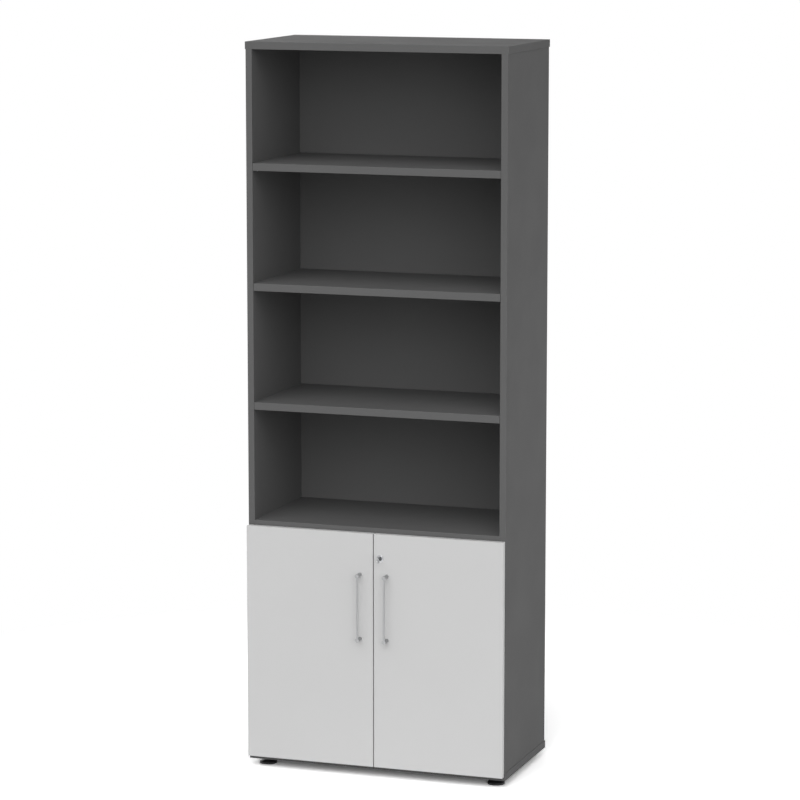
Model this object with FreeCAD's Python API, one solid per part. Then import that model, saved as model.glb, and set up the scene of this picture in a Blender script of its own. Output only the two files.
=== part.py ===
import FreeCAD, Part
import math
import os

os.makedirs("parts", exist_ok=True)
V = FreeCAD.Vector

# A tall office bookcase: four open compartments above a cupboard with two doors.
# +X is to the right as one faces the doors, +Y to the back, +Z up. The origin lies on the
# floor, under the middle of the box that holds the whole piece. All sizes are in millimetres.

# ---- Carcass
width = 800.0                  # top and bottom panels, the widest pieces
side_depth = 403.0
level_pitch = 352.0            # one binder height, eleven steps of 32
levels = 6
cupboard_levels = 2            # levels behind the doors
side_thickness = 19.0
panel_thickness = 22.0         # top, bottom and every shelf
panel_overhang = 2.0           # the top and bottom panels stand proud of the sides and their rear
edge_radius = 0.8              # softened board edges

# ---- Back panel, held in grooves
back_thickness = 8.0
back_inset = 5.0               # from the rear edge of the sides to the back panel
groove_depth = 8.0
groove_play = 0.1              # each side of the back panel, and at its ends

# ---- Adjustable shelves and their supports
shelf_side_play = 1.0
shelf_rear_play = 1.5
support_radius = 2.5
support_depth = 9.0            # how far a support's pin goes into the side
support_reach = 9.0            # how far its tongue carries the shelf
support_width = 8.0
support_tongue = 2.2
support_inset = 37.0           # row of support holes, from the front and from the back panel

# ---- Doors
door_thickness = 18.0
door_gap_behind = 2.0          # between the doors and the carcass
door_reveal = 1.0              # the outer face of the sides shows this much beyond the doors
door_gap = 3.0                 # between the two doors
door_lap_top = 8.0             # how much of the fixed shelf's edge a door covers
door_lap_bottom = 10.0         # how much of the bottom panel's edge a door covers
door_edge_radius = 0.8
bumper_radius = 3.5
bumper_gap = 0.2               # between a closed door's bumper and the carcass
bumper_inset = 12.0            # from a door's free edge

# ---- Handles
handle_spacing = 192.0         # between the screws
handle_bar_radius = 3.0
handle_post_radius = 6.0
handle_projection = 28.0       # from the door's face to the ends of the posts
handle_setback = 1.0           # the bar's front lies this far behind the posts' ends
handle_end_chamfer = 0.6
handle_drop = 219.5            # from a door's top edge to the middle of the bar
handle_inset = 40.0            # from a door's free edge to the middle of its bar
handle_screw_radius = 2.0
handle_screw_head_radius = 4.2
handle_screw_head = 2.0
handle_screw_grip = 9.0        # thread inside a handle's post
handle_thread_end_play = 1.0

# ---- Lock, in the right door
lock_x = 21.0
lock_drop = 72.0               # from the door's top edge to the lock's axis
rosette_radius = 11.0
rosette_thickness = 2.0
rosette_rim = 0.7              # thickness at its outer edge, from where it slopes up
rosette_land_radius = 7.2      # of the flat ring round the plug
barrel_radius = 9.0
barrel_behind_door = 6.0
plug_radius = 6.0
running_play = 0.05            # radial play of everything that turns in a hole
plug_proud = 0.4               # plug in front of its rosette
nut_across_flats = 24.0
nut_thickness = 4.5
lever_thickness = 2.0
lever_width = 14.0
lever_length = 58.0            # from the lock's axis to the lever's tip
lever_gap = 0.5                # between the barrel and the lever
tenon_size = 7.0
lever_screw_radius = 2.0
lever_screw_length = 8.0
lever_screw_head_radius = 4.5
lever_screw_head = 2.0
key_play = 0.15                # each side of the key in its keyway
key_end_play = 1.0
key_blade_thickness = 2.0
key_blade_height = 7.0
key_blade_length = 19.0        # inside the plug
key_bow_radius = 10.5
key_bow_thickness = 2.4
key_bow_centre = 13.5          # in front of the plug
key_hole_radius = 3.0
key_hole_offset = 5.0

# ---- Strike plate for the lock's lever, under the fixed shelf
strike_width = 34.0
strike_thickness = 1.5
strike_drop = 14.0             # of the leg that the lever reaches behind
strike_flange = 20.0
strike_lever_gap = 1.2
strike_screw_radius = 1.75
strike_screw_length = 12.0
strike_screw_head_radius = 3.4
strike_screw_head = 1.2
strike_screw_spacing = 20.0
strike_screw_inset = 12.0      # from the front of the leg

# ---- Board connectors: a bolt in one board, an eccentric cam housing in the other
connector_inset = 60.0         # from the front edge and from the back panel
cam_radius = 7.5
cam_distance = 24.0            # from the joint to the cam's axis
cam_floor = 0.8                # of cam beyond the bolt
cam_cover = 1.0
bolt_radius = 3.5
bolt_play = 0.2
bolt_thread_radius = 2.5
bolt_thread = 11.0
bolt_end = 2.0                 # a bolt stops this far short of its cam's axis
dowel_radius = 4.0
dowel_into_panel = 12.0
dowel_into_end = 18.0
dowel_end_play = 1.0
dowel_inset = 32.0             # from the connector, towards the middle of the board

# ---- Feet, screwed in and out for levelling
foot_height = 22.0
front_foot_inset = 42.0        # axis from the ends of the bottom panel
rear_foot_inset = 56.0
foot_depth_inset = 46.0        # axis from the front of the carcass, and from the rear of the sides
pad_radius = 26.0
pad_top_gap = 3.5              # between the pad and the socket above it, screwed right in
pad_chamfer = 2.0
pad_cone = 3.0
pad_hub_radius = 11.0
pad_hub = 3.5
spindle_radius = 5.0
journal_radius = 4.0
journal_depth = 8.0
foot_axial_play = 0.05
spindle_top_gap = 2.45         # between the spindle and the cover over it
spindle_slot_width = 1.6
spindle_slot_depth = 2.0
socket_sleeve_radius = 9.0
sleeve_top_gap = 1.0           # inside the bottom panel, between the sleeve and the cover
socket_flange_radius = 20.0
socket_flange = 5.0
cover_radius = 12.0
cover_thickness = 1.5
cover_spigot = 4.0

# ---- Concealed hinges, two to a door
# Places in a hinge's plan are (outwards from the cup's axis, back from the door's back face),
# for the right-hand side, with the door closed.
hinge_end_distance = 96.0      # from a door's top or bottom to the hinge
cup_radius = 17.5
cup_depth = 12.5
cup_side_distance = 3.5        # from the inner face of the side to the cup's axis
cup_wall = 1.0
cup_flange = 1.0
cup_flange_half_height = 28.0
cup_flange_inner = 15.5        # reach of the flange towards the door's middle, from the cup's axis
cup_flange_outer = 8.0
cup_well_half = 7.2            # half height of the well that the links fold into
cup_screw_spacing = 45.0
cup_screw_offset = 9.5
cup_screw_radius = 1.75
cup_screw_length = 13.0
cup_screw_head_radius = 3.4
cup_screw_head = 0.8
pin_radius = 1.25
main_link_arm_pivot = (-12.7, 16.9)
main_link_knee = (6.8, -5.0)
main_link_cup_pivot = (12.7, -2.2)
guide_link_arm_pivot = (-18.7, 4.7)
guide_link_knee = (5.1, -9.2)
guide_link_cup_pivot = (10.8, -7.1)
main_link_turn = -0.266        # turn of the main link for each degree that the door opens
guide_link_turn = -0.153
opening_angle = 100.0
eye_radius = 2.5
cup_eye_radius = 2.3
link_half_width = 1.8
link_barrel_half = 6.0
main_link_plate = (3.5, 5.5)   # from and to, either side of the hinge's middle height
guide_link_half = 2.6
open_pivot_play = 0.25
open_pivot_steps = 12
cheek_from = 7.0
cheek_thickness = 1.5
arm_web_thickness = 1.2
arm_web_play = 0.6             # between the guide link's eye and the arm's web
arm_pivot_margin = 3.3         # of cheek beside the main link's pivot
arm_end = 58.0                 # this and the plate's places are from the carcass front
plate_height = 8.0             # mounting plate, from the side to the arm
plate_from = 24.0
plate_to = 56.0
plate_foot = 3.0
plate_foot_half_height = 24.0
plate_foot_half_width = 9.0
plate_hole_inset = 37.0
plate_hole_spacing = 32.0
plate_screw_radius = 2.5
plate_screw_length = 12.0
plate_screw_head_radius = 4.2
plate_screw_head = 1.6
arm_screw_y = 47.0
arm_screw_radius = 2.5
arm_screw_head_radius = 4.5
arm_screw_head = 1.5

# ---- Values that follow
half_width = width / 2
side_outer = half_width - panel_overhang
side_inner = side_outer - side_thickness
side_middle = side_inner + side_thickness / 2
overall_depth = handle_projection + door_thickness + door_gap_behind + side_depth + panel_overhang
panel_rear = overall_depth / 2
side_rear = panel_rear - panel_overhang
front = side_rear - side_depth
door_back = front - door_gap_behind
door_front = door_back - door_thickness
back_rear = side_rear - back_inset
back_front = back_rear - back_thickness
bottom_top = foot_height + panel_thickness
total_height = bottom_top + levels * level_pitch
top_under = total_height - panel_thickness


def level_top(level):
    """Upper face of the panel or shelf that ends a level."""
    return bottom_top + level * level_pitch


fixed_shelf_top = level_top(cupboard_levels)
fixed_shelf_under = fixed_shelf_top - panel_thickness
door_bottom = bottom_top - door_lap_bottom
door_top = fixed_shelf_under + door_lap_top
door_outer = side_outer - door_reveal
door_inner = door_gap / 2
handle_height = door_top - handle_drop
lock_height = door_top - lock_drop
cup_x = side_inner - cup_side_distance
plate_top = side_inner - plate_height
X, Y, Z = V(1, 0, 0), V(0, 1, 0), V(0, 0, 1)


# ---- Helpers
def box(x0, x1, y0, y1, z0, z1):
    return Part.makeBox(x1 - x0, y1 - y0, z1 - z0, V(x0, y0, z0))


def rod(radius, length, start, direction):
    return Part.makeCylinder(radius, length, start, direction)


def soften(shape, radius, keep=lambda edge: True):
    """Round the straight edges that the test keeps."""
    return shape.makeFillet(radius, [edge for edge in shape.Edges if keep(edge)])


def edges_at_front(edge):
    """True for an edge that lies in the carcass front."""
    return all(abs(vertex.Point.y - front) < edge_radius for vertex in edge.Vertexes)


def mirrored(shape):
    """The same piece on the left."""
    return shape.mirror(V(0, 0, 0), X)


def both_sides(solids):
    return list(solids) + [mirrored(solid) for solid in solids]


def flat(groups):
    return [item for group in groups for item in group]


def cut(shape, tools):
    return shape.cut(list(tools)) if tools else shape


def save(name, solids):
    """One STEP file for a node, from one solid or a group of separate solids."""
    group = [part for solid in solids for part in solid.Solids]
    shape = group[0] if len(group) == 1 else Part.makeCompound(group)
    shape.exportStep(os.path.join("parts", name + ".step"))


# ---- Board connectors and dowels
def connector(face, into_cam_board, mouth, half_board):
    """Bolt, cam and cover of one joint, with what they cut from the two boards.

    face is on the joint at mid thickness, into_cam_board points into the board with the cam,
    and mouth points from the bolt to the surface that the cam is let in from."""
    cam_axis = face + into_cam_board * cam_distance
    surface = cam_axis + mouth * half_board
    depth = half_board + bolt_radius + cam_floor
    pocket = rod(cam_radius, depth, surface, mouth * -1)
    cover = rod(cam_radius, cam_cover, surface, mouth * -1)
    bolt_length = cam_distance - bolt_end
    shank = rod(bolt_radius, bolt_length, face, into_cam_board)
    thread = rod(bolt_thread_radius, bolt_thread, face, into_cam_board * -1)
    bore = rod(bolt_radius + bolt_play, cam_distance, face, into_cam_board)
    cam = pocket.cut(cover).cut(bore)
    return {"bolt": shank.fuse(thread), "cam": cam, "cover": cover,
            "cam_board": [pocket, bore], "bolt_board": [thread]}


def dowel(face, into_panel):
    """One dowel, with its holes in the panel and in the board that meets it on end.

    It goes deeper into the board on end, so that it stays clear of the panel's far face."""
    start = face - into_panel * dowel_into_end
    peg = rod(dowel_radius, dowel_into_end + dowel_into_panel, start, into_panel)
    in_panel = rod(dowel_radius, dowel_into_panel + dowel_end_play, face, into_panel)
    in_end = rod(dowel_radius, dowel_into_end + dowel_end_play, face, into_panel * -1)
    return peg, in_panel, in_end


def board_joints():
    """Every connector and dowel, and what each board loses to them."""
    pieces = {"cams": [], "covers": [], "bolts": [], "dowels": []}
    cuts = {"top": [], "bottom": [], "fixed": [], "right": [], "left": []}
    rows = [(front + connector_inset, 1), (back_front - connector_inset, -1)]
    half_side, half_panel = side_thickness / 2, panel_thickness / 2
    mid_shelf = fixed_shelf_under + half_panel
    for side, name in ((1, "right"), (-1, "left")):
        inward = X * -side
        for y, towards_middle in rows:
            peg_y = y + towards_middle * dowel_inset
            spots = [("top", V(side * side_middle, y, top_under), Z * -1, inward, half_side),
                     ("bottom", V(side * side_middle, y, bottom_top), Z, inward, half_side),
                     ("fixed", V(side * side_inner, y, mid_shelf), inward, Z * -1, half_panel)]
            for board, face, into_cam_board, mouth, half_board in spots:
                made = connector(face, into_cam_board, mouth, half_board)
                pieces["bolts"].append(made["bolt"])
                pieces["cams"].append(made["cam"])
                pieces["covers"].append(made["cover"])
                cam_board, bolt_board = (board, name) if board == "fixed" else (name, board)
                cuts[cam_board] += made["cam_board"]
                cuts[bolt_board] += made["bolt_board"]
                peg_face = V(face.x, peg_y, face.z)
                peg, in_panel, in_end = dowel(peg_face, into_cam_board * -1)
                pieces["dowels"].append(peg)
                cuts[bolt_board].append(in_panel)
                cuts[cam_board].append(in_end)
    return pieces, cuts


# ---- Shelves
def shelf_board(top, half_length, rear):
    """A shelf flush with the carcass front, with softened front edges."""
    board = box(-half_length, half_length, front, rear, top - panel_thickness, top)
    return soften(board, edge_radius, edges_at_front)


def shelf_support(side, y, under):
    """A pin with a flat tongue that a shelf rests on, and its hole in the side."""
    axis = V(side * side_inner, y, under - support_radius)
    pin = rod(support_radius, support_depth, axis, X * side)
    x0, x1 = sorted((side * side_inner, side * (side_inner - support_reach)))
    tongue = box(x0, x1, y - support_width / 2, y + support_width / 2,
                 under - support_tongue, under)
    collar = rod(support_radius, support_tongue, axis, X * -side)
    collar = collar.common(box(-half_width, half_width, y - support_width, y + support_width,
                               under - 2 * support_radius, under))
    hole = rod(support_radius, support_depth, axis, X * side)
    return pin.fuse([tongue, collar]).removeSplitter(), hole


def adjustable_shelves():
    """The loose shelves by level, all the supports, and the holes of each side."""
    shelves, supports, holes = {}, [], {1: [], -1: []}
    rows = (front + support_inset, back_front - support_inset)
    for level in range(1, levels):
        if level == cupboard_levels:
            continue
        top = level_top(level)
        shelves[level] = shelf_board(top, side_inner - shelf_side_play,
                                     back_front - shelf_rear_play)
        for side in (1, -1):
            for y in rows:
                support, hole = shelf_support(side, y, top - panel_thickness)
                supports.append(support)
                holes[side].append(hole)
    return shelves, supports, holes


# ---- Concealed hinge
def at(place, z):
    """A point of the right-hand hinge plan, at a height."""
    return V(cup_x + place[0], door_back + place[1], z)


def turned(place, centre, degrees):
    """A plan point turned about a centre, anticlockwise seen from above."""
    a = math.radians(degrees)
    dx, dy = place[0] - centre[0], place[1] - centre[1]
    return (centre[0] + dx * math.cos(a) - dy * math.sin(a),
            centre[1] + dx * math.sin(a) + dy * math.cos(a))


def bar(start, end, r0, r1, z0, z1):
    """A flat bar between two plan points, with round ends."""
    dx, dy = end[0] - start[0], end[1] - start[1]
    length = math.hypot(dx, dy)
    nx, ny = -dy / length, dx / length
    corners = [(start[0] + nx * r0, start[1] + ny * r0), (end[0] + nx * r1, end[1] + ny * r1),
               (end[0] - nx * r1, end[1] - ny * r1), (start[0] - nx * r0, start[1] - ny * r0)]
    points = [at(corner, z0) for corner in corners]
    body = Part.Face(Part.makePolygon(points + points[:1])).extrude(Z * (z1 - z0))
    ends = [rod(r0, z1 - z0, at(start, z0), Z), rod(r1, z1 - z0, at(end, z0), Z)]
    return body.fuse(ends)


def cranked_bar(start, knee, end, end_radius, z0, z1):
    first = bar(start, knee, link_half_width, link_half_width, z0, z1)
    second = bar(knee, end, link_half_width, end_radius, z0, z1)
    return first.fuse(second).removeSplitter()


def pivot_hole(place, z, play):
    """A cutter for a pin's hole, longer than any piece of the hinge is wide."""
    half = cup_flange_half_height
    return rod(pin_radius + play, 2 * half, at(place, z - half), Z)


def main_link(z):
    """Outer link: two plates on one barrel, which carry the door."""
    low, high = main_link_plate
    plates = [cranked_bar(main_link_arm_pivot, main_link_knee, main_link_cup_pivot,
                          cup_eye_radius, z0, z1)
              for z0, z1 in ((z + low, z + high), (z - high, z - low))]
    barrel = rod(eye_radius, 2 * link_barrel_half,
                 at(main_link_arm_pivot, z - link_barrel_half), Z)
    holes = [pivot_hole(pivot, z, running_play)
             for pivot in (main_link_arm_pivot, main_link_cup_pivot)]
    return cut(barrel.fuse(plates).removeSplitter(), holes)


def door_point(place, angle):
    """Where a plan point of the door goes when the door has opened by an angle."""
    link_angle = main_link_turn * angle
    on_link = turned(place, main_link_cup_pivot, angle - link_angle)
    return turned(on_link, main_link_arm_pivot, link_angle)


def seen_by_guide_link(place, angle):
    """A plan point of the door as the guide link sees it at a door angle."""
    return turned(door_point(place, angle), guide_link_arm_pivot, -guide_link_turn * angle)


def guide_link(z):
    """Inner link. Its cup end is an open jaw that clears both cup pins over the whole travel."""
    body = cranked_bar(guide_link_arm_pivot, guide_link_knee, guide_link_cup_pivot,
                       cup_eye_radius, z - guide_link_half, z + guide_link_half)
    barrel = rod(eye_radius, 2 * link_barrel_half,
                 at(guide_link_arm_pivot, z - link_barrel_half), Z)
    clearances = [pivot_hole(guide_link_arm_pivot, z, running_play)]
    angles = [opening_angle * step / open_pivot_steps for step in range(open_pivot_steps + 1)]
    for pin in (guide_link_cup_pivot, main_link_cup_pivot):
        clearances += [pivot_hole(seen_by_guide_link(pin, angle), z, open_pivot_play)
                       for angle in angles]
    return largest(cut(body.fuse(barrel), clearances))


def largest(shape):
    """The biggest solid of a cut, without the crumbs that fall off it."""
    return max(shape.Solids, key=lambda solid: solid.Volume)


def hinge_arm(z):
    """A channel that holds both arm pivots and sits on the mounting plate."""
    main, guide = at(main_link_arm_pivot, z), at(guide_link_arm_pivot, z)
    web_inner = guide.x - eye_radius - arm_web_play
    web_outer = web_inner - arm_web_thickness
    nose, end = guide.y - eye_radius, front + arm_end
    outline = [(web_outer, nose), (guide.x + eye_radius, nose),
               (main.x + arm_pivot_margin, main.y - eye_radius),
               (plate_top, front + plate_from - plate_foot), (plate_top, end), (web_outer, end)]
    half = cheek_from + cheek_thickness
    cheeks = []
    for z0 in (z + cheek_from, z - half):
        points = [V(x, y, z0) for x, y in outline]
        cheeks.append(Part.Face(Part.makePolygon(points + points[:1])).extrude(Z * cheek_thickness))
    web = box(web_outer, web_inner, nose, end, z - half, z + half)
    arm = web.fuse(cheeks).removeSplitter()
    pin_holes = [rod(pin_radius, 2 * half, at(pivot, z - half), Z)
                 for pivot in (main_link_arm_pivot, guide_link_arm_pivot)]
    screw_hole = rod(arm_screw_radius, side_inner, V(0, front + arm_screw_y, z), X)
    pins = [rod(pin_radius, 2 * half, at(pivot, z - half), Z)
            for pivot in (main_link_arm_pivot, guide_link_arm_pivot)]
    screw_start = V(web_outer, front + arm_screw_y, z)
    screw = rod(arm_screw_head_radius, arm_screw_head, screw_start, X * -1)
    screw = screw.fuse(rod(arm_screw_radius, side_inner - plate_foot - web_outer, screw_start, X))
    return cut(arm, pin_holes + [screw_hole]), pins, screw


def mounting_plate(z):
    """The plate screwed to the side that carries the arm, its screws and their holes."""
    body = box(plate_top, side_inner, front + plate_from, front + plate_to,
               z - cheek_from, z + cheek_from)
    wider = box(side_inner - plate_foot, side_inner, front + plate_hole_inset - plate_foot_half_width,
                front + plate_hole_inset + plate_foot_half_width,
                z - plate_foot_half_height, z + plate_foot_half_height)
    plate = body.fuse(wider).removeSplitter()
    screws, holes = [], []
    for dz in (-plate_hole_spacing / 2, plate_hole_spacing / 2):
        face = V(side_inner - plate_foot, front + plate_hole_inset, z + dz)
        shank = rod(plate_screw_radius, plate_foot + plate_screw_length, face, X)
        screws.append(shank.fuse(rod(plate_screw_head_radius, plate_screw_head, face, X * -1)))
        holes.append(shank)
    arm_hole = rod(arm_screw_radius, side_inner - plate_top,
                   V(plate_top, front + arm_screw_y, z), X)
    return cut(plate, holes + [arm_hole]), screws, holes


def hinge_cup(z):
    """The cup let into the door, its pins and screws, and what they cut from the door."""
    axis = V(cup_x, door_back, z)
    pocket = rod(cup_radius, cup_depth, axis, Y * -1)
    flange = box(cup_x - cup_flange_inner, cup_x + cup_flange_outer,
                 door_back, door_back + cup_flange,
                 z - cup_flange_half_height, z + cup_flange_half_height)
    rim = rod(cup_radius, cup_flange, axis, Y)
    well_radius = cup_radius - cup_wall
    well = rod(well_radius, cup_depth - cup_wall + cup_flange,
               axis + Y * cup_flange, Y * -1)
    slab = box(cup_x - cup_radius, cup_x + cup_radius,
               door_back - cup_depth, door_back + cup_flange,
               z - cup_well_half, z + cup_well_half)
    pin_reach = cup_well_half + cheek_thickness
    pins = [rod(pin_radius, 2 * pin_reach, at(pivot, z - pin_reach), Z)
            for pivot in (main_link_cup_pivot, guide_link_cup_pivot)]
    screws, holes = [], []
    for dz in (-cup_screw_spacing / 2, cup_screw_spacing / 2):
        head_at = V(cup_x - cup_screw_offset, door_back + cup_flange, z + dz)
        shank = rod(cup_screw_radius, cup_flange + cup_screw_length, head_at, Y * -1)
        screws.append(shank.fuse(rod(cup_screw_head_radius, cup_screw_head, head_at, Y)))
        holes.append(shank)
    cup = pocket.fuse([flange, rim]).removeSplitter()
    cup = cut(cup, [well.common(slab)] + pins + holes)
    return cup, pins, screws, [pocket] + holes


# ---- Handle
def handle(x):
    """A slim bar between two posts, its screws, and their holes in the door."""
    post_end = door_front - handle_projection
    bar_y = post_end + handle_setback + handle_bar_radius
    low, high = handle_height - handle_spacing / 2, handle_height + handle_spacing / 2
    shape = rod(handle_bar_radius, handle_spacing, V(x, bar_y, low), Z)
    screws, door_holes, thread_holes = [], [], []
    for z in (low, high):
        post_foot = V(x, door_front, z)
        post = rod(handle_post_radius, handle_projection, post_foot, Y * -1)
        post = post.makeChamfer(handle_end_chamfer,
                                [e for e in post.Edges if e.Closed and
                                 abs(e.CenterOfMass.y - post_end) < handle_end_chamfer])
        shape = shape.fuse(post)
        inside = V(x, door_back, z)
        length = door_thickness + handle_screw_grip
        shank = rod(handle_screw_radius, length, inside, Y * -1)
        screws.append(shank.fuse(rod(handle_screw_head_radius, handle_screw_head, inside, Y)))
        door_holes.append(rod(handle_screw_radius, door_thickness, inside, Y * -1))
        thread_holes.append(rod(handle_screw_radius, handle_screw_grip + handle_thread_end_play,
                                post_foot, Y * -1))
    return cut(shape.removeSplitter(), thread_holes), screws, door_holes


# ---- Lock
def hexagon(across_flats, centre):
    """A six-sided face square to Y."""
    sides = 6
    corner = across_flats / 2 / math.cos(math.pi / sides)
    turns = [2 * math.pi * n / sides for n in range(sides)]
    points = [centre + V(corner * math.cos(a), 0, corner * math.sin(a)) for a in turns]
    return Part.Face(Part.makePolygon(points + points[:1]))


def lock():
    """Housing and nut in the door, then everything that turns with the key."""
    face = V(lock_x, door_front, lock_height)
    rosette = rod(rosette_radius, rosette_rim, face, Y * -1)
    slope = Part.makeCone(rosette_radius, rosette_land_radius, rosette_thickness - rosette_rim,
                          face - Y * rosette_rim, Y * -1)
    barrel_length = door_thickness + barrel_behind_door
    barrel = rod(barrel_radius, barrel_length, face, Y)
    bore_start = face - Y * rosette_thickness
    bore = rod(plug_radius + running_play, rosette_thickness + barrel_length, bore_start, Y)
    housing = rosette.fuse([slope, barrel]).removeSplitter().cut(bore)
    nut = hexagon(nut_across_flats, V(lock_x, door_back, lock_height)).extrude(Y * nut_thickness)
    nut = nut.cut(barrel)

    plug_front = face.y - rosette_thickness - plug_proud
    lever_front = door_back + barrel_behind_door + lever_gap
    tenon_end = lever_front + lever_thickness
    plug = rod(plug_radius, lever_front - plug_front, V(lock_x, plug_front, lock_height), Y)
    tenon = box(lock_x - tenon_size / 2, lock_x + tenon_size / 2, lever_front, tenon_end,
                lock_height - tenon_size / 2, lock_height + tenon_size / 2)
    slot_half = key_blade_thickness / 2 + key_play
    slot_half_height = key_blade_height / 2 + key_play
    keyway = box(lock_x - slot_half, lock_x + slot_half,
                 plug_front, plug_front + key_blade_length + key_end_play,
                 lock_height - slot_half_height, lock_height + slot_half_height)
    screw_start = V(lock_x, tenon_end, lock_height)
    screw_shank = rod(lever_screw_radius, lever_screw_length, screw_start, Y * -1)
    lever_screw = screw_shank.fuse(rod(lever_screw_head_radius, lever_screw_head, screw_start, Y))
    cylinder = plug.fuse(tenon).cut([keyway, screw_shank])

    lever = box(lock_x, lock_x + lever_length - lever_width / 2, lever_front, tenon_end,
                lock_height - lever_width / 2, lock_height + lever_width / 2)
    ends = [rod(lever_width / 2, lever_thickness, V(x, lever_front, lock_height), Y)
            for x in (lock_x, lock_x + lever_length - lever_width / 2)]
    lever = lever.fuse(ends).removeSplitter().cut(tenon)

    blade_tip = plug_front + key_blade_length
    bow_y = plug_front - key_bow_centre
    blade = box(lock_x - key_blade_thickness / 2, lock_x + key_blade_thickness / 2,
                bow_y, blade_tip,
                lock_height - key_blade_height / 2, lock_height + key_blade_height / 2)
    bow = rod(key_bow_radius, key_bow_thickness,
              V(lock_x - key_bow_thickness / 2, bow_y, lock_height), X)
    hole = rod(key_hole_radius, key_bow_thickness,
               V(lock_x - key_bow_thickness / 2, bow_y - key_hole_offset, lock_height), X)
    key = blade.fuse(bow).removeSplitter().cut(hole)
    return {"lock_housing": housing, "lock_nut": nut, "lock_cylinder": cylinder,
            "lock_lever": lever, "lock_lever_screw": lever_screw, "key": key}, barrel


def strike():
    """An angle under the fixed shelf that the raised lever reaches behind."""
    lever_front = door_back + barrel_behind_door + lever_gap
    leg_rear = lever_front - strike_lever_gap
    x0, x1 = lock_x - strike_width / 2, lock_x + strike_width / 2
    leg_front = leg_rear - strike_thickness
    leg = box(x0, x1, leg_front, leg_rear, fixed_shelf_under - strike_drop, fixed_shelf_under)
    flange = box(x0, x1, leg_front, leg_front + strike_flange,
                 fixed_shelf_under - strike_thickness, fixed_shelf_under)
    screws, holes = [], []
    for x in (lock_x - strike_screw_spacing / 2, lock_x + strike_screw_spacing / 2):
        head_at = V(x, leg_front + strike_screw_inset, fixed_shelf_under - strike_thickness)
        shank = rod(strike_screw_radius, strike_thickness + strike_screw_length, head_at, Z)
        screws.append(shank.fuse(rod(strike_screw_head_radius, strike_screw_head, head_at, Z * -1)))
        holes.append(shank)
    return cut(leg.fuse(flange).removeSplitter(), holes), screws, holes


# ---- Feet
def foot(x, y):
    """Pad, spindle, socket and cover of one foot, and the bore in the bottom panel."""
    def solid(radius, z0, height):
        return rod(radius, height, V(x, y, z0), Z)

    socket_under = foot_height - socket_flange
    hub_top = socket_under - pad_top_gap
    hub_low = hub_top - pad_hub
    rim_top = hub_low - pad_cone
    rim = solid(pad_radius, 0, rim_top)
    rim = rim.makeChamfer(pad_chamfer, [e for e in rim.Edges if e.Closed and
                                        e.CenterOfMass.z > rim_top / 2])
    cone = Part.makeCone(pad_radius - pad_chamfer, pad_hub_radius, pad_cone, V(x, y, rim_top), Z)
    hub = solid(pad_hub_radius, hub_low, pad_hub)
    journal_hole = solid(journal_radius + running_play, hub_top - journal_depth, journal_depth)
    pad = rim.fuse([cone, hub]).removeSplitter().cut(journal_hole)

    shoulder = hub_top + foot_axial_play
    journal_low = hub_top - journal_depth + foot_axial_play
    cover_low = bottom_top - cover_spigot
    spindle_top = cover_low - spindle_top_gap
    spindle = solid(spindle_radius, shoulder, spindle_top - shoulder)
    spindle = spindle.fuse(solid(journal_radius, journal_low, shoulder - journal_low))
    slot = box(x - spindle_radius, x + spindle_radius, y - spindle_slot_width / 2,
               y + spindle_slot_width / 2, spindle_top - spindle_slot_depth, spindle_top)
    spindle = spindle.removeSplitter().cut(slot)

    socket_length = cover_low - sleeve_top_gap - socket_under
    bore = solid(spindle_radius + running_play, socket_under, socket_length)
    sleeve = solid(socket_sleeve_radius, socket_under, socket_length)
    flange = solid(socket_flange_radius, socket_under, socket_flange)
    socket = sleeve.fuse(flange).removeSplitter().cut(bore)
    cover = solid(cover_radius, bottom_top, cover_thickness)
    cover = cover.fuse(solid(socket_sleeve_radius, cover_low, cover_spigot))
    panel_bore = solid(socket_sleeve_radius, foot_height, panel_thickness)
    return {"pad": pad, "spindle": spindle, "socket": socket,
            "cover": cover.removeSplitter(), "bore": panel_bore}


# ---- Carcass boards
def back_groove():
    """The groove all round for the back panel, as one block to cut with."""
    reach = side_inner + groove_depth
    return box(-reach, reach, back_front - groove_play, back_rear + groove_play,
               bottom_top - groove_depth, top_under + groove_depth)


def end_panel(low, cuts):
    """Top or bottom panel."""
    board = box(-half_width, half_width, front, panel_rear, low, low + panel_thickness)
    return cut(soften(board, edge_radius), [back_groove()] + cuts)


def side_panel(side, cuts):
    x0, x1 = sorted((side * side_inner, side * side_outer))
    board = box(x0, x1, front, side_rear, bottom_top, top_under)
    board = soften(board, edge_radius,
                   lambda e: abs(e.Vertexes[0].Point.z - e.Vertexes[1].Point.z) > side_thickness)
    return cut(board, [back_groove()] + cuts)


def back_panel():
    reach = side_inner + groove_depth - groove_play
    return box(-reach, reach, back_front, back_rear,
               bottom_top - groove_depth + groove_play, top_under + groove_depth - groove_play)


# ---- Doors
def door(side, cuts):
    x0, x1 = sorted((side * door_inner, side * door_outer))
    board = box(x0, x1, door_front, door_back, door_bottom, door_top)
    return cut(soften(board, door_edge_radius), cuts)


def bumpers(side):
    """Two soft discs behind a door's free edge that meet the fixed shelf and the bottom panel."""
    heights = ((fixed_shelf_under + door_top) / 2, (door_bottom + bottom_top) / 2)
    return [rod(bumper_radius, door_gap_behind - bumper_gap,
                V(side * (door_inner + bumper_inset), door_back, z), Y) for z in heights]


# ---- Build
joints, board_cuts = board_joints()
shelves, supports, support_holes = adjustable_shelves()
feet = {}
for end, foot_y, inset in (("front", front + foot_depth_inset, front_foot_inset),
                           ("rear", side_rear - foot_depth_inset, rear_foot_inset)):
    for hand, side in (("left", -1), ("right", 1)):
        feet[end + "_" + hand] = foot(side * (half_width - inset), foot_y)

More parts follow.
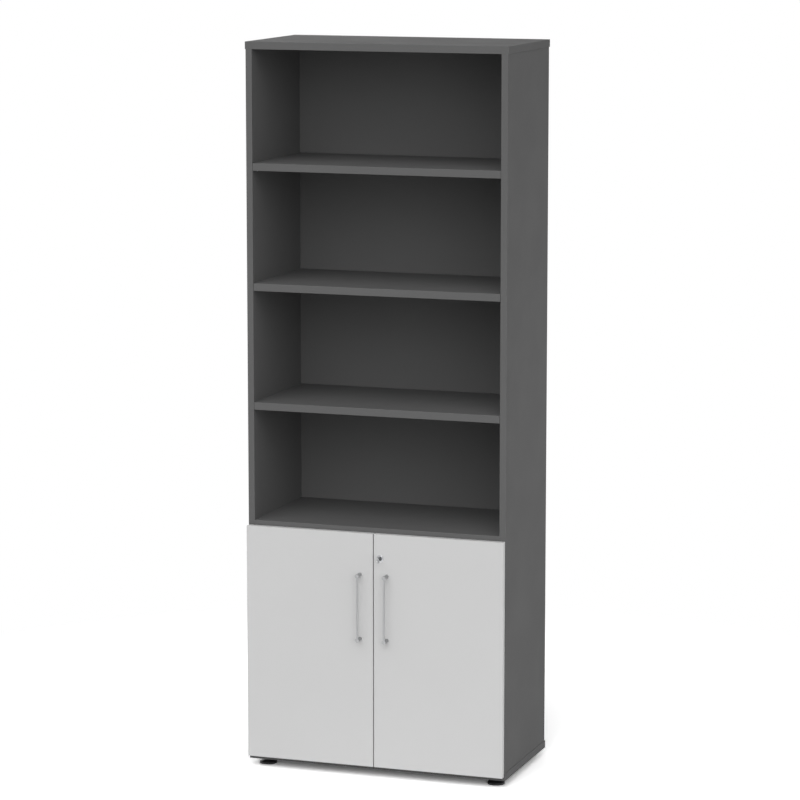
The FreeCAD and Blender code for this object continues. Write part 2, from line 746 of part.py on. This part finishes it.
hinge_heights = (door_bottom + hinge_end_distance, door_top - hinge_end_distance)
hinge_plates, plate_screws, plate_holes = zip(*(mounting_plate(z) for z in hinge_heights))
arms, arm_pins, arm_screws = zip(*(hinge_arm(z) for z in hinge_heights))
cups, cup_pins, cup_screws, cup_cuts = zip(*(hinge_cup(z) for z in hinge_heights))
lock_pieces, lock_hole = lock()
strike_plate, strike_screws, strike_holes = strike()
handle_x = door_inner + handle_inset
left_grip, left_grip_screws, left_grip_holes = handle(-handle_x)
right_grip, right_grip_screws, right_grip_holes = handle(handle_x)

plate_holes, cup_cuts = flat(plate_holes), flat(cup_cuts)
right_cuts = board_cuts["right"] + support_holes[1] + plate_holes
left_cuts = board_cuts["left"] + support_holes[-1] + [mirrored(hole) for hole in plate_holes]
save("top_panel", [end_panel(top_under, board_cuts["top"])])
save("bottom_panel", [end_panel(foot_height, board_cuts["bottom"] +
                                [made["bore"] for made in feet.values()])])
save("right_side_panel", [side_panel(1, right_cuts)])
save("left_side_panel", [side_panel(-1, left_cuts)])
save("back_panel", [back_panel()])
save("fixed_shelf", [cut(shelf_board(fixed_shelf_top, side_inner, back_front),
                         board_cuts["fixed"] + strike_holes)])
open_shelf_names = ("lower_shelf", "middle_shelf", "upper_shelf")
open_levels = range(cupboard_levels + 1, levels)
for name, level in zip(open_shelf_names, open_levels):
    save(name, [shelves[level]])
save("cupboard_shelf", [shelves[level] for level in range(1, cupboard_levels)])
save("shelf_supports", supports)
save("cam_housings", joints["cams"])
save("cam_covers", joints["covers"])
save("connecting_bolts", joints["bolts"])
save("wood_dowels", joints["dowels"])

save("hinge_mounting_plates", both_sides(hinge_plates))
save("mounting_plate_screws", both_sides(flat(plate_screws)))
save("hinge_arms", both_sides(arms))
save("hinge_arm_pins", both_sides(flat(arm_pins)))
save("hinge_arm_screws", both_sides(arm_screws))
right_pieces = {
    "main_links": [main_link(z) for z in hinge_heights],
    "guide_links": [guide_link(z) for z in hinge_heights],
    "hinge_cups": cups,
    "cup_pins": flat(cup_pins),
    "cup_screws": flat(cup_screws),
}
for name, solids in right_pieces.items():
    save("right_" + name, solids)
    save("left_" + name, [mirrored(solid) for solid in solids])

save("right_door", [door(1, cup_cuts + right_grip_holes + [lock_hole])])
save("left_door", [door(-1, [mirrored(piece) for piece in cup_cuts] + left_grip_holes)])
save("right_door_bumpers", bumpers(1))
save("left_door_bumpers", bumpers(-1))
save("left_handle", [left_grip])
save("right_handle", [right_grip])
save("left_handle_screws", left_grip_screws)
save("right_handle_screws", right_grip_screws)
for name, solid in lock_pieces.items():
    save(name, [solid])
save("lock_strike", [strike_plate])
save("lock_strike_screws", strike_screws)

for place, made in feet.items():
    save("foot_pad_" + place, [made["pad"]])
    save("foot_spindle_" + place, [made["spindle"]])
save("foot_sockets", [made["socket"] for made in feet.values()])
save("foot_covers", [made["cover"] for made in feet.values()])
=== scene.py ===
"""A tall office bookcase: four open bays above a cupboard with two doors.

Every shape is a CAD node. This script gives each of them a procedural material and
adds the floor, the light and the camera. Metres, in the row frame: +X to the right as
one faces the doors, +Y to the back, +Z up, with the origin on the floor.
"""

import math

import bpy
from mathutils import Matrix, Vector


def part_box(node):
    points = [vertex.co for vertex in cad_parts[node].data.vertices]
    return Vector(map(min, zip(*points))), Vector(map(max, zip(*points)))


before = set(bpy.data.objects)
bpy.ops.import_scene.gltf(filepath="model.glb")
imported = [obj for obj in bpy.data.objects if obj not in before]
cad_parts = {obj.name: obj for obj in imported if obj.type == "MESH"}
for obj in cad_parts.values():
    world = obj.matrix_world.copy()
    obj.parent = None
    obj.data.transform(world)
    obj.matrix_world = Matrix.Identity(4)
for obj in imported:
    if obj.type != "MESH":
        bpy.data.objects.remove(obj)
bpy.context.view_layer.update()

MM = 0.001


def display(red, green, blue):
    """The linear colour that shows as these 0 to 255 values under plain light."""
    def linear(value):
        part = value / 255
        return part / 12.92 if part <= 0.04045 else ((part + 0.055) / 1.055) ** 2.4
    return (linear(red), linear(green), linear(blue), 1.0)


# ---- Camera

CAMERA_PLACE = (3.2662, -9.3485, 2.6804)
CAMERA_DOWN = 9.069       # degrees below the horizon
CAMERA_TURN = 19.184      # degrees to the left of straight on
LENS = 152.84             # millimetres, on a sensor of this width
SENSOR = 36.0
NEAREST, FARTHEST = 0.1, 200.0


def make_camera():
    data = bpy.data.cameras.new("camera")
    data.lens = LENS
    data.sensor_width = SENSOR
    data.clip_start = NEAREST
    data.clip_end = FARTHEST
    camera = bpy.data.objects.new("camera", data)
    camera.location = CAMERA_PLACE
    camera.rotation_euler = (math.radians(90 - CAMERA_DOWN), 0, math.radians(CAMERA_TURN))
    bpy.context.scene.collection.objects.link(camera)
    bpy.context.scene.camera = camera


# ---- Node trees

class Graph:
    """A node tree built by short calls, each of which returns an output socket."""

    def __init__(self, tree):
        self.tree = tree
        self.tree.nodes.clear()

    def node(self, kind, **settings):
        made = self.tree.nodes.new(kind)
        for name, value in settings.items():
            setattr(made, name, value)
        return made

    def put(self, socket, value):
        if isinstance(value, bpy.types.NodeSocket):
            self.tree.links.new(value, socket)
        else:
            socket.default_value = value

    def math(self, operation, first, second=0.0, clamp=False):
        made = self.node("ShaderNodeMath", operation=operation, use_clamp=clamp)
        self.put(made.inputs[0], first)
        self.put(made.inputs[1], second)
        return made.outputs[0]

    def place(self):
        """Where a point lies in the row frame, at rest."""
        return self.node("ShaderNodeTexCoord").outputs["Object"]

    def stretched(self, where, factors):
        made = self.node("ShaderNodeVectorMath", operation="MULTIPLY")
        self.put(made.inputs[0], where)
        self.put(made.inputs[1], factors)
        return made.outputs[0]

    def split(self, where):
        made = self.node("ShaderNodeSeparateXYZ")
        self.put(made.inputs[0], where)
        return made.outputs

    def noise(self, where, scale, detail=2.0, roughness=0.5):
        made = self.node("ShaderNodeTexNoise")
        self.put(made.inputs["Vector"], where)
        self.put(made.inputs["Scale"], scale)
        self.put(made.inputs["Detail"], detail)
        self.put(made.inputs["Roughness"], roughness)
        return made.outputs["Fac"]

    def cells(self, where, scale):
        made = self.node("ShaderNodeTexVoronoi")
        self.put(made.inputs["Vector"], where)
        self.put(made.inputs["Scale"], scale)
        return made.outputs["Color"]

    def graded(self, value, low, high, to_low=0.0, to_high=1.0):
        """Maps low..high to to_low..to_high, and stays at the ends beyond them."""
        made = self.node("ShaderNodeMapRange", interpolation_type="SMOOTHSTEP")
        self.put(made.inputs["Value"], value)
        self.put(made.inputs["From Min"], low)
        self.put(made.inputs["From Max"], high)
        self.put(made.inputs["To Min"], to_low)
        self.put(made.inputs["To Max"], to_high)
        return made.outputs[0]

    def mix(self, factor, first, second):
        made = self.node("ShaderNodeMix", data_type="RGBA")
        self.put(made.inputs[0], factor)
        self.put(made.inputs[6], first)
        self.put(made.inputs[7], second)
        return made.outputs[2]

    def bump(self, height, depth, strength=1.0, under=None):
        """A relief that is depth metres deep where height goes from 0 to 1."""
        made = self.node("ShaderNodeBump")
        self.put(made.inputs["Height"], height)
        self.put(made.inputs["Distance"], depth)
        self.put(made.inputs["Strength"], strength)
        if under is not None:
            self.put(made.inputs["Normal"], under)
        return made.outputs[0]

    def surface(self, colour, roughness, normal, **numbers):
        shader = self.node("ShaderNodeBsdfPrincipled")
        self.put(shader.inputs["Base Color"], colour)
        self.put(shader.inputs["Roughness"], roughness)
        self.put(shader.inputs["Normal"], normal)
        for name, value in numbers.items():
            self.put(shader.inputs[name.replace("_", " ")], value)
        self.output(shader.outputs[0])

    def output(self, shader):
        made = self.node("ShaderNodeOutputMaterial")
        self.put(made.inputs["Surface"], shader)


def new_material(name):
    material = bpy.data.materials.new(name)
    material.use_nodes = True
    return material, Graph(material.node_tree)


# ---- Boards

BAND = 1.0 * MM           # thickness of the edge band
JOINT = 0.10 * MM         # half the width of the glue line beside it
RAW_FROM = 0.35 * MM      # deeper than this, a bore or groove shows the raw core
RAW_TO = 0.60 * MM
WORN_FROM = 0.25 * MM     # edges are rubbed a little lighter within this distance
WORN_TO = 1.30 * MM
PEARL_DEPTH = 0.05 * MM   # of the pressed texture of the melamine
FLAKE_DEPTH = 0.25 * MM   # of the chips in the raw core
CORE_DARK = display(126, 96, 64)
CORE_LIGHT = display(196, 164, 122)


def distances(graph, where, low, high):
    """How deep a point lies under the node's own box, along X, Y and Z."""
    found = []
    for axis, part in enumerate(graph.split(where)):
        middle = (low[axis] + high[axis]) / 2
        half = (high[axis] - low[axis]) / 2
        away = graph.math("ABSOLUTE", graph.math("SUBTRACT", part, middle))
        found.append(graph.math("SUBTRACT", half, away))
    return found


def nearest_and_next(graph, depths):
    """The smallest and the middle one of three depths."""
    x, y, z = depths
    lesser = graph.math("MINIMUM", x, y)
    greater = graph.math("MAXIMUM", x, y)
    nearest = graph.math("MINIMUM", lesser, z)
    following = graph.math("MAXIMUM", lesser, graph.math("MINIMUM", greater, z))
    return nearest, following


def joint_line(graph, depths, banded, thick):
    """1 on the glue line beside the edge bands, on a board's two large faces."""
    line = 0.0
    for axis in banded:
        away = graph.math("ABSOLUTE", graph.math("SUBTRACT", depths[axis], BAND))
        one = graph.graded(away, JOINT * 0.5, JOINT, 1.0, 0.0)
        line = graph.math("MAXIMUM", line, one)
    large_face = graph.graded(depths[thick], 0.2 * MM, 0.4 * MM, 1.0, 0.0)
    return graph.math("MULTIPLY", line, large_face)


def board(node, finish, banded, thick):
    """Melamine faced board with edge bands, and raw chipboard in its bores."""
    low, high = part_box(node)
    material, graph = new_material(node + "_finish")
    where = graph.place()
    depths = distances(graph, where, low, high)
    nearest, following = nearest_and_next(graph, depths)

    cloud = graph.noise(where, scale=2.3, detail=3.0)
    speck = graph.noise(where, scale=1100.0, detail=2.0, roughness=0.6)
    shift = graph.math("ADD", graph.math("MULTIPLY", cloud, 0.6),
                       graph.math("MULTIPLY", speck, 0.4))
    face = graph.mix(graph.graded(shift, 0.3, 0.7), finish["dark"], finish["light"])

    rub = graph.noise(where, scale=60.0, detail=4.0, roughness=0.65)
    worn = graph.graded(following, WORN_FROM, WORN_TO, 1.0, 0.0)
    worn = graph.math("MULTIPLY", worn, graph.graded(rub, 0.35, 0.65, 0.35, 1.0))
    face = graph.mix(worn, face, finish["edge"])
    line = joint_line(graph, depths, banded, thick)
    face = graph.mix(graph.math("MULTIPLY", line, 0.6), face, finish["joint"])

    flake = graph.cells(graph.stretched(where, (1.0, 1.0, 2.2)), scale=420.0)
    core = graph.mix(flake, CORE_DARK, CORE_LIGHT)
    raw = graph.graded(nearest, RAW_FROM, RAW_TO)
    colour = graph.mix(raw, face, core)

    pearl = graph.noise(where, scale=620.0, detail=2.0, roughness=0.55)
    relief = graph.bump(pearl, PEARL_DEPTH, finish["relief"])
    chips = graph.math("MULTIPLY", flake, raw)
    relief = graph.bump(chips, FLAKE_DEPTH, strength=0.5, under=relief)
    patches = graph.noise(where, scale=9.0, detail=4.0)
    rough = graph.graded(patches, 0.3, 0.7, *finish["roughness"])
    rough = graph.mix(raw, rough, (0.9, 0.9, 0.9, 1.0))
    graph.surface(colour, rough, relief, Specular_IOR_Level=finish["gloss"])
    dress(node, material)


def dress(node, material):
    """Gives the whole node this material."""
    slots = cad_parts[node].material_slots
    for slot in slots:
        slot.link = "DATA"
        slot.material = material


GRAPHITE = {
    "dark": display(97, 97, 97),
    "light": display(100, 100, 100),
    "edge": display(107, 107, 107),
    "joint": display(58, 58, 58),
    "relief": 0.35,
    "roughness": (0.62, 0.70),
    "gloss": 0.05,
}
BACK_BOARD = {
    "dark": display(95, 95, 95),
    "light": display(99, 99, 99),
    "edge": display(104, 104, 104),
    "joint": display(58, 58, 58),
    "relief": 0.25,
    "roughness": (0.64, 0.72),
    "gloss": 0.05,
}
LIGHT_GREY = {
    "dark": display(201, 201, 201),
    "light": display(204, 204, 204),
    "edge": display(212, 212, 212),
    "joint": display(150, 150, 150),
    "relief": 0.30,
    "roughness": (0.46, 0.54),
    "gloss": 0.35,
}

X, Y, Z = 0, 1, 2


def finish_boards():
    for node in ("left_side_panel", "right_side_panel"):
        board(node, GRAPHITE, (Y,), X)
    for node in ("top_panel", "bottom_panel"):
        board(node, GRAPHITE, (X, Y), Z)
    for node in ("fixed_shelf", "lower_shelf", "middle_shelf", "upper_shelf",
                 "cupboard_shelf"):
        board(node, GRAPHITE, (Y,), Z)
    board("back_panel", BACK_BOARD, (), Y)
    for node in ("left_door", "right_door"):
        board(node, LIGHT_GREY, (X, Z), Y)


# ---- Metals

def brushed_steel():
    """Satin handles, brushed along their bars."""
    material, graph = new_material("satin_steel_finish")
    where = graph.place()
    along = graph.stretched(where, (1.0, 1.0, 0.012))
    lines = graph.noise(along, scale=9000.0, detail=3.0, roughness=0.7)
    cloud = graph.noise(where, scale=30.0, detail=4.0)
    colour = graph.mix(graph.graded(lines, 0.3, 0.7),
                       display(164, 165, 166), display(173, 174, 175))
    rough = graph.graded(cloud, 0.3, 0.7, 0.30, 0.38)
    relief = graph.bump(lines, 0.002 * MM, strength=0.5)
    graph.surface(colour, rough, relief, Metallic=1.0)
    return material


def polished(name, dark, light, least, most):
    """Bright plated metal with faint wipe marks in its polish."""
    material, graph = new_material(name)
    where = graph.place()
    marks = graph.noise(where, scale=160.0, detail=5.0, roughness=0.7)
    tone = graph.noise(where, scale=50.0)
    colour = graph.mix(graph.graded(tone, 0.3, 0.7), dark, light)
    rough = graph.graded(marks, 0.35, 0.7, least, most)
    ripple = graph.noise(where, scale=900.0, detail=2.0)
    relief = graph.bump(ripple, 0.004 * MM, strength=0.3)
    graph.surface(colour, rough, relief, Metallic=1.0)
    return material


def plated(name, dark, light, least, most):
    """Zinc or nickel on pressed steel: a faint grain and a mottled sheen."""
    material, graph = new_material(name)
    where = graph.place()
    crystals = graph.cells(where, scale=500.0)
    cloud = graph.noise(where, scale=90.0, detail=4.0, roughness=0.6)
    tone = graph.math("ADD", graph.math("MULTIPLY", crystals, 0.35),
                      graph.math("MULTIPLY", cloud, 0.65))
    colour = graph.mix(graph.graded(tone, 0.25, 0.75), dark, light)
    rough = graph.graded(cloud, 0.3, 0.7, least, most)
    grain = graph.noise(where, scale=1500.0, detail=3.0)
    relief = graph.bump(grain, 0.01 * MM, strength=0.4)
    graph.surface(colour, rough, relief, Metallic=0.8)
    return material


# ---- Plastics, rubber and wood

def moulded(name, dark, light, least, most, depth, gloss):
    """Moulded plastic: a fine spark eroded texture and slight flow marks."""
    material, graph = new_material(name)
    where = graph.place()
    fine = graph.noise(where, scale=1600.0, detail=2.0, roughness=0.6)
    flow = graph.noise(graph.stretched(where, (1.0, 1.0, 3.0)), scale=40.0, detail=3.0)
    colour = graph.mix(graph.graded(flow, 0.3, 0.7), dark, light)
    rough = graph.graded(fine, 0.3, 0.7, least, most)
    relief = graph.bump(fine, depth, strength=0.6)
    graph.surface(colour, rough, relief, Specular_IOR_Level=gloss)
    return material


def soft_rubber():
    """Clear, slightly milky bumper buttons."""
    material, graph = new_material("soft_bumper_finish")
    where = graph.place()
    haze = graph.noise(where, scale=300.0, detail=3.0)
    colour = graph.mix(graph.graded(haze, 0.3, 0.7),
                       display(214, 216, 215), display(232, 233, 231))
    rough = graph.graded(haze, 0.3, 0.7, 0.28, 0.42)
    relief = graph.bump(haze, 0.02 * MM, strength=0.3)
    graph.surface(colour, rough, relief, Subsurface_Weight=0.3, Subsurface_Scale=0.002)
    return material


def beech():
    """Dowels, which lie along X or Z: straight grain with short dark pores."""
    material, graph = new_material("beech_finish")
    where = graph.place()
    along = graph.stretched(where, (0.08, 1.0, 0.08))
    grain = graph.noise(along, scale=900.0, detail=4.0, roughness=0.6)
    pores = graph.noise(graph.stretched(where, (0.15, 1.0, 0.15)), scale=3800.0, detail=1.0)
    colour = graph.mix(graph.graded(grain, 0.3, 0.7),
                       display(186, 142, 98), display(222, 184, 138))
    colour = graph.mix(graph.graded(pores, 0.62, 0.72, 0.0, 0.6), colour,
                       display(124, 84, 52))
    rough = graph.graded(grain, 0.3, 0.7, 0.62, 0.74)
    relief = graph.bump(grain, 0.04 * MM, strength=0.5)
    graph.surface(colour, rough, relief, Specular_IOR_Level=0.3)
    return material


def finish_fittings():
    """One material for each slot that isn't a board, and one for the lock's plug, coloured
    darker as painted shade.
    """
    made = {
        "satin_steel": brushed_steel(),
        "chrome": polished("chrome_finish", display(174, 175, 177),
                           display(188, 189, 191), 0.12, 0.20),
        "polished_key_metal": polished("key_metal_finish", display(186, 187, 188),
                                       display(204, 205, 206), 0.14, 0.26),
        "zinc_plated_steel": plated("zinc_finish", display(176, 180, 186),
                                    display(206, 209, 212), 0.30, 0.42),
        "nickel_plated_steel": plated("nickel_finish", display(190, 187, 180),
                                      display(214, 211, 204), 0.20, 0.30),
        "black_plastic": moulded("black_plastic_finish", display(26, 26, 27),
                                 display(34, 34, 35), 0.42, 0.55, 0.03 * MM, 0.45),
        "graphite_plastic": moulded("graphite_plastic_finish", display(95, 95, 96),
                                    display(99, 99, 100), 0.62, 0.72, 0.02 * MM, 0.08),
        "soft_bumper": soft_rubber(),
        "beech": beech(),
    }
    for node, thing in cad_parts.items():
        slot = thing.material_slots[0].name.split(".")[0]
        if slot in made:
            dress(node, made[slot])
    # The plug is coloured much darker than the chrome around it: painted shade for the dark
    # face of the lock.
    painted_shade_plug = polished("lock_plug_finish", display(100, 101, 103), display(118, 119, 121),
                    0.16, 0.26)
    dress("lock_cylinder", painted_shade_plug)


# ---- Floor, light and background

FLOOR_RADIUS = 60.0
FLOOR_SIDES = 96
SHADOW_RADIUS = 1.3       # the floor shows shadows within this distance,
FADE_RADIUS = 2.2         # and is plain white beyond this one
FLOOR_SEEN = 1.70         # what the floor reflects where it is looked at,
FLOOR_LIFT = 0.04         # and how much it is lifted there
FLOOR_LIGHT = 0.55        # what it reflects on to the object


def seen_directly(graph):
    """1 for the rays that show the background: camera, mirror and glass rays."""
    path = graph.node("ShaderNodeLightPath").outputs
    seen = graph.math("MAXIMUM", path["Is Camera Ray"], path["Is Glossy Ray"])
    return graph.math("MAXIMUM", seen, path["Is Transmission Ray"])


def added(graph, first, second):
    made = graph.node("ShaderNodeAddShader")
    graph.put(made.inputs[0], first)
    graph.put(made.inputs[1], second)
    return made.outputs[0]


def blended(graph, factor, first, second):
    """The first shader where factor is 0, the second one where it is 1."""
    made = graph.node("ShaderNodeMixShader")
    graph.put(made.inputs[0], factor)
    graph.put(made.inputs[1], first)
    graph.put(made.inputs[2], second)
    return made.outputs[0]


def diffuse(graph, level):
    made = graph.node("ShaderNodeBsdfDiffuse")
    graph.put(made.inputs["Color"], (level, level, level, 1.0))
    return made.outputs[0]


def glow(graph, strength):
    made = graph.node("ShaderNodeEmission")
    graph.put(made.inputs["Color"], (1.0, 1.0, 1.0, 1.0))
    graph.put(made.inputs["Strength"], strength)
    return made.outputs[0]


def make_floor():
    """White where it is looked at, but for the shadows near the object."""
    corners = []
    for step in range(FLOOR_SIDES):
        angle = 2 * math.pi * step / FLOOR_SIDES
        corners.append((FLOOR_RADIUS * math.cos(angle), FLOOR_RADIUS * math.sin(angle), 0))
    mesh = bpy.data.meshes.new("floor")
    mesh.from_pydata(corners, [], [list(range(FLOOR_SIDES))])
    floor = bpy.data.objects.new("floor", mesh)
    bpy.context.scene.collection.objects.link(floor)
    material, graph = new_material("floor_finish")
    parts = graph.split(graph.place())
    away = graph.math("SQRT", graph.math(
        "ADD", graph.math("MULTIPLY", parts[0], parts[0]),
        graph.math("MULTIPLY", parts[1], parts[1])))
    near = added(graph, diffuse(graph, FLOOR_SEEN), glow(graph, FLOOR_LIFT))
    far = graph.graded(away, SHADOW_RADIUS, FADE_RADIUS)
    shown = blended(graph, far, near, glow(graph, 1.0))
    graph.output(blended(graph, seen_directly(graph), diffuse(graph, FLOOR_LIGHT), shown))
    mesh.materials.append(material)


EVEN_LIGHT = 0.15
# More light from some sides: the direction, how narrow it is, and its strength.
SKY_LIGHT = (
    ((0.4, -1.0, 0.7), 6.0, 0.82),
    ((-0.4, -1.0, 0.7), 6.0, 0.82),
    ((0.35, -1.0, 1.0), 16.0, 0.44),
    ((-0.35, -1.0, 1.0), 16.0, 0.44),
    ((0.0, -1.0, 1.6), 8.0, 0.93),
    ((1.0, -1.0, 0.4), 6.0, 1.18),
)


def make_world(even, lobes):
    """White where it is seen; elsewhere a soft light, stronger from some sides."""
    world = bpy.data.worlds.new("studio")
    bpy.context.scene.world = world
    world.use_nodes = True
    graph = Graph(world.node_tree)
    where = graph.node("ShaderNodeTexCoord").outputs["Generated"]
    total = even
    for direction, power, strength in lobes:
        facing = graph.node("ShaderNodeVectorMath", operation="DOT_PRODUCT")
        graph.put(facing.inputs[0], where)
        graph.put(facing.inputs[1], Vector(direction).normalized())
        lobe = graph.math("POWER", graph.math("MAXIMUM", facing.outputs["Value"], 0.0), power)
        total = graph.math("ADD", graph.math("MULTIPLY", lobe, strength), total)
    light = graph.node("ShaderNodeBackground")
    graph.put(light.inputs["Strength"], total)
    white = graph.node("ShaderNodeBackground")
    for plain in (light, white):
        graph.put(plain.inputs["Color"], (1.0, 1.0, 1.0, 1.0))
    graph.put(white.inputs["Strength"], 1.0)
    shown = blended(graph, seen_directly(graph), light.outputs[0], white.outputs[0])
    made = graph.node("ShaderNodeOutputWorld")
    graph.put(made.inputs["Surface"], shown)


# Each lamp: its place, the point it faces, its width and its power in watts.
MIDDLE = (0.0, 0.0, 1.1)
LAMPS = {
    "front": ((0.5, -5.5, 3.6), MIDDLE, 2.5, 18.8),
    "front_right": ((3.2, -4.5, 1.0), MIDDLE, 2.0, 14.2),
    "right": ((2.4, 0.2, 0.75), (0.4, 0.2, 0.75), 1.0, 7.0),
    "left": ((-5.0, 0.2, 1.4), MIDDLE, 2.5, 10.0),
    "rear": ((-3.0, 4.6, 1.5), MIDDLE, 2.5, 85.0),
}


def make_lamps():
    for name, (place, target, width, power) in LAMPS.items():
        data = bpy.data.lights.new(name, "AREA")
        data.shape = "SQUARE"
        data.size = width
        data.energy = power
        lamp = bpy.data.objects.new(name, data)
        lamp.location = place
        aim = Vector(target) - Vector(place)
        lamp.rotation_euler = aim.to_track_quat("-Z", "Y").to_euler()
        lamp.visible_camera = False
        bpy.context.scene.collection.objects.link(lamp)


make_camera()
finish_boards()
finish_fittings()
make_floor()
make_world(EVEN_LIGHT, SKY_LIGHT)
make_lamps()
bpy.context.scene.view_settings.view_transform = "Standard"
